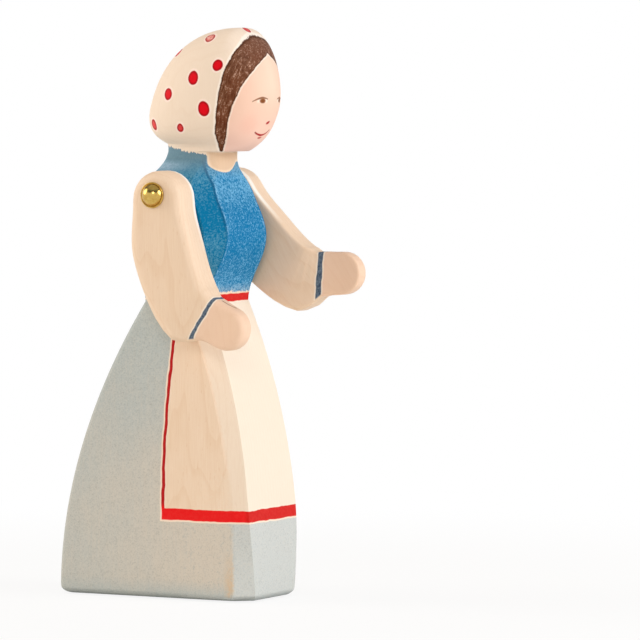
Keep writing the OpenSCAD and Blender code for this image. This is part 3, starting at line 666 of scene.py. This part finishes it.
seat_x = 22.8                           # the underside of the head, off the body's middle
head_r, rim_h, rim_in_r = 3.25, 0.5, 3.02
dome_foot_r, dome_h = 2.8, 2.0          # the dome rises inside a narrow flat rim
groove_h, groove_in_r, groove_out_r = 0.3, 2.84, 2.94
shank_r, shank_end, point_h, point_r = 1.0, 5.0, 2.0, 0.2
dome_r = (dome_foot_r ** 2 + dome_h ** 2) / (2 * dome_h)
rim_x, groove_x = seat_x + rim_h, seat_x + groove_h
dome_x = rim_x + dome_h - dome_r
for name, node, way in (("right_nail", "right_shoulder_nail", -1), ("left_nail", "left_shoulder_nail", 1)):
    bpy.ops.object.select_all(action="DESELECT")
    bpy.ops.mesh.primitive_uv_sphere_add(
        segments=64, ring_count=48, radius=dome_r * mm, rotation=(0, math.pi / 2, 0),
        location=(way * dome_x * mm, pivot[1] * mm, pivot[2] * mm))
    nail = bpy.context.object
    nail.name = name
    bpy.ops.object.transform_apply(location=True, rotation=True, scale=True)
    bpy.ops.object.mode_set(mode="EDIT")
    bpy.ops.mesh.select_all(action="SELECT")
    bpy.ops.mesh.bisect(
        plane_co=(way * rim_x * mm, pivot[1] * mm, pivot[2] * mm), plane_no=(way, 0, 0), clear_inner=True)
    centre = [way * seat_x * mm, pivot[1] * mm, pivot[2] * mm]
    bpy.ops.mesh.select_all(action="DESELECT")
    bpy.ops.mesh.select_non_manifold()
    # down into the groove round the dome, out over the rim, under the head, and along the shank
    at_x, at_r = rim_x, dome_foot_r
    for to_x, to_r in (
            (groove_x, groove_in_r), (groove_x, groove_out_r), (rim_x, rim_in_r), (rim_x, head_r),
            (seat_x, head_r), (seat_x, shank_r), (shank_end, shank_r), (shank_end - point_h, point_r)):
        bpy.ops.mesh.extrude_edges_move(TRANSFORM_OT_translate={"value": (way * (to_x - at_x) * mm, 0, 0)})
        bpy.ops.transform.resize(value=(1, to_r / at_r, to_r / at_r), center_override=centre)
        at_x, at_r = to_x, to_r
    bpy.ops.mesh.edge_face_add()
    bpy.ops.mesh.select_all(action="SELECT")
    bpy.ops.mesh.normals_make_consistent(inside=False)
    bpy.ops.object.mode_set(mode="OBJECT")
    rolled = nail.modifiers.new("rolled_rim", "BEVEL")
    rolled.width = 0.1 * mm
    rolled.segments = 3
    rolled.limit_method = "ANGLE"
    rolled.angle_limit = math.radians(28)
    bpy.ops.object.modifier_apply(modifier=rolled.name)
    bpy.ops.object.shade_smooth_by_angle(angle=math.radians(35))
    nail.data.materials.append(brass)
    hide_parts(node)
    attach(nail, "body")

# The studio: a white table and a white sweep all round under a dim ceiling, with a big soft lamp in
# front of the doll to the right of the camera, a smaller one over the camera and one behind.
bpy.ops.object.select_all(action="DESELECT")
bpy.ops.mesh.primitive_plane_add(size=6.0, location=(0, 0, -0.2 * mm))
table = bpy.context.object
table.name = "white_table"
bpy.ops.object.transform_apply(location=True, rotation=True, scale=True)


def looked_at(tree):
    """The kinds of light path, and 1 for those that end at the camera, straight or by a mirror or glass."""
    path = add(tree, "LightPath").node.outputs
    seen = add(tree, "Math", path["Is Camera Ray"], path["Is Glossy Ray"], operation="MAXIMUM")
    return path, add(tree, "Math", seen, path["Is Transmission Ray"], operation="MAXIMUM")


white = bpy.data.materials.new("white_laminate")
tree = blank(white)
path, seen = looked_at(tree)
matt = add(tree, "BsdfDiffuse", srgb("#F6F6F4"))
glow = add(tree, "Emission", (1, 1, 1, 1), 1.0)
place = add(tree, "TexCoord").node.outputs["Object"]
away = add(tree, "VectorMath", place, operation="LENGTH").node.outputs["Value"]
# the shadow shows near the doll and the table runs out into plain white
share = add(tree, "MapRange", away, 0.08, 0.28, 0.86, 1.0, interpolation_type="SMOOTHSTEP")
glowing = add(tree, "Math", seen, share, operation="MULTIPLY")
add(tree, "OutputMaterial", add(tree, "MixShader", glowing, matt, glow))
table.data.materials.append(white)

room = bpy.data.worlds.new("white_sweep")
bpy.context.scene.world = room
tree = blank(room)
path, seen = looked_at(tree)
height = add(tree, "SeparateXYZ", add(tree, "TexCoord").node.outputs["Generated"]).node.outputs["Z"]
overhead = add(tree, "MapRange", height, 0.25, 0.5, 0.0, 1.0, interpolation_type="SMOOTHSTEP")
ceiling = add(tree, "Mix", overhead, srgb("#FFF4E9"), srgb("#D6CCC2"), data_type="RGBA")
fill = add(tree, "Background", ceiling, 0.72)
# what the brass mirrors is dimmer overhead; the camera itself sees plain white
unseen = add(tree, "Math", 1.0, path["Is Camera Ray"], operation="SUBTRACT")
dim = add(tree, "MapRange", height, 0.7, 0.86, 1.0, 0.5)
dim = add(tree, "Math", add(tree, "Math", overhead, dim, operation="MULTIPLY"), unseen, operation="MULTIPLY")
mirrored_room = add(tree, "Mix", dim, (1, 1, 1, 1), srgb("#666D74"), data_type="RGBA")
backdrop = add(tree, "Background", mirrored_room, 1.0)
add(tree, "OutputWorld", add(tree, "MixShader", seen, fill, backdrop))


def facing(place, target):
    """The turn that points a lamp or a camera from a place at a target, kept upright."""
    way = [t - p for t, p in zip(target, place)]
    return math.atan2(math.hypot(way[0], way[1]), -way[2]), 0, math.atan2(way[1], way[0]) - math.pi / 2


for name, place, size, watts, tint in (
        ("key", (0.15, -1.4, 0.65), 0.9, 11.7, "#F4F8FF"),
        ("over_camera", (-1.25, -0.6, 0.75), 0.5, 3.0, "#FFF6EC"),
        ("behind", (-0.45, 1.3, 0.7), 1.0, 9.5, "#FFF8F0")):
    bpy.ops.object.light_add(type="AREA", location=place)
    lamp = bpy.context.object
    lamp.name = name
    lamp.data.shape = "DISK"
    lamp.data.size = size
    lamp.data.energy = watts
    lamp.data.color = srgb(tint)[:3]
    lamp.rotation_euler = facing(place, (0, 0, 0.07))

# The camera stands to the doll's right and a little in front, hardly above it, with a long lens,
# and is turned so that the doll stands left of the middle of the picture.
azimuth, elevation, distance = math.radians(-60), math.radians(2.7), 1.282
middle_z, aim_right, aim_down = 0.0725, 0.0362, 0.0023
focal_px, picture_px = 5000, 640
level_distance = distance * math.cos(elevation)
eye = (
    level_distance * math.sin(azimuth), -level_distance * math.cos(azimuth),
    middle_z + distance * math.sin(elevation))
bpy.ops.object.camera_add(location=eye)
camera = bpy.context.object
camera.name = "camera"
camera.data.sensor_width = 36.0
camera.data.lens = camera.data.sensor_width * focal_px / picture_px
camera.data.clip_start = 0.05
aim = (aim_right * math.cos(azimuth), aim_right * math.sin(azimuth), middle_z - aim_down)
camera.rotation_euler = facing(eye, aim)
bpy.context.scene.camera = camera
bpy.context.scene.view_settings.view_transform = "Standard"
